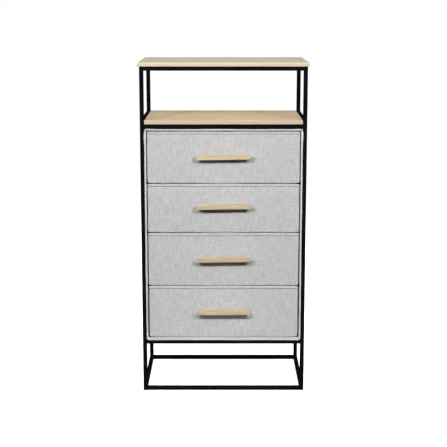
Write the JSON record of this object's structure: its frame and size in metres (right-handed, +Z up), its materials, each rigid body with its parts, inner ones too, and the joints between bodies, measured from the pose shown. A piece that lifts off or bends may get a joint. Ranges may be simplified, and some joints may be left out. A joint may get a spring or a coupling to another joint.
{
  "type": "fabric drawer dresser",
  "caption": "Tall narrow dresser: square tube frame, wooden top board, open shelf bay, fabric cabinet with sliding fabric drawers and wooden bar handles.",
  "frame": {"origin": "on the floor under the middle of the whole object, handles and board overhang included", "axes": "+Z up, -Y towards the drawer fronts, +X to the right seen from the front"},
  "size_m": [0.512, 0.351, 1.016],
  "materials": {
    "black_steel": "satin powder coat",
    "board_wood": "pale matt wood grain",
    "handle_wood": "light wood, satin",
    "cabinet_fabric": "light grey linen weave",
    "front_fabric": "light grey linen weave",
    "bin_fabric": "grey non-woven lining",
    "base_card": "raw grey board",
    "zinc_screw": "zinc plated"
  },
  "bodies": {
    "dresser_frame": {"post_front_left": "black_steel", "post_front_right": "black_steel", "post_rear_left": "black_steel", "post_rear_right": "black_steel", "floor_rail_front": "black_steel", "floor_rail_rear": "black_steel", "floor_rail_left": "black_steel", "floor_rail_right": "black_steel", "cabinet_rail_front": "black_steel", "cabinet_rail_rear": "black_steel", "cabinet_rail_left": "black_steel", "cabinet_rail_right": "black_steel", "shelf_rail_front": "black_steel", "shelf_rail_rear": "black_steel", "shelf_rail_left": "black_steel", "shelf_rail_right": "black_steel", "top_rail_front": "black_steel", "top_rail_rear": "black_steel", "top_rail_left": "black_steel", "top_rail_right": "black_steel", "top_board": "board_wood", "shelf_board": "board_wood", "cabinet_side_left": "cabinet_fabric", "cabinet_side_right": "cabinet_fabric", "cabinet_bottom": "cabinet_fabric", "cabinet_top": "cabinet_fabric", "cabinet_back": "cabinet_fabric", "runner_1_left": "black_steel", "runner_1_right": "black_steel", "runner_2_left": "black_steel", "runner_2_right": "black_steel", "runner_3_left": "black_steel", "runner_3_right": "black_steel", "runner_4_left": "black_steel", "runner_4_right": "black_steel"},
    "drawer_1": {"drawer_1_front": "front_fabric", "drawer_1_bin": "bin_fabric", "drawer_1_base_board": "base_card", "drawer_1_handle": "handle_wood", "drawer_1_screw_left": "zinc_screw", "drawer_1_screw_right": "zinc_screw"},
    "drawer_2": {"drawer_2_front": "front_fabric", "drawer_2_bin": "bin_fabric", "drawer_2_base_board": "base_card", "drawer_2_handle": "handle_wood", "drawer_2_screw_left": "zinc_screw", "drawer_2_screw_right": "zinc_screw"},
    "drawer_3": {"drawer_3_front": "front_fabric", "drawer_3_bin": "bin_fabric", "drawer_3_base_board": "base_card", "drawer_3_handle": "handle_wood", "drawer_3_screw_left": "zinc_screw", "drawer_3_screw_right": "zinc_screw"},
    "drawer_4": {"drawer_4_front": "front_fabric", "drawer_4_bin": "bin_fabric", "drawer_4_base_board": "base_card", "drawer_4_handle": "handle_wood", "drawer_4_screw_left": "zinc_screw", "drawer_4_screw_right": "zinc_screw"}
  },
  "joints": [
    {"name": "drawer_1_slide", "type": "slide", "parent": "dresser_frame", "child": "drawer_1", "axis": [0, -1, 0], "range_m": [0, 0.22]},
    {"name": "drawer_2_slide", "type": "slide", "parent": "dresser_frame", "child": "drawer_2", "axis": [0, -1, 0], "range_m": [0, 0.22]},
    {"name": "drawer_3_slide", "type": "slide", "parent": "dresser_frame", "child": "drawer_3", "axis": [0, -1, 0], "range_m": [0, 0.22]},
    {"name": "drawer_4_slide", "type": "slide", "parent": "dresser_frame", "child": "drawer_4", "axis": [0, -1, 0], "range_m": [0, 0.22]}
  ]
}
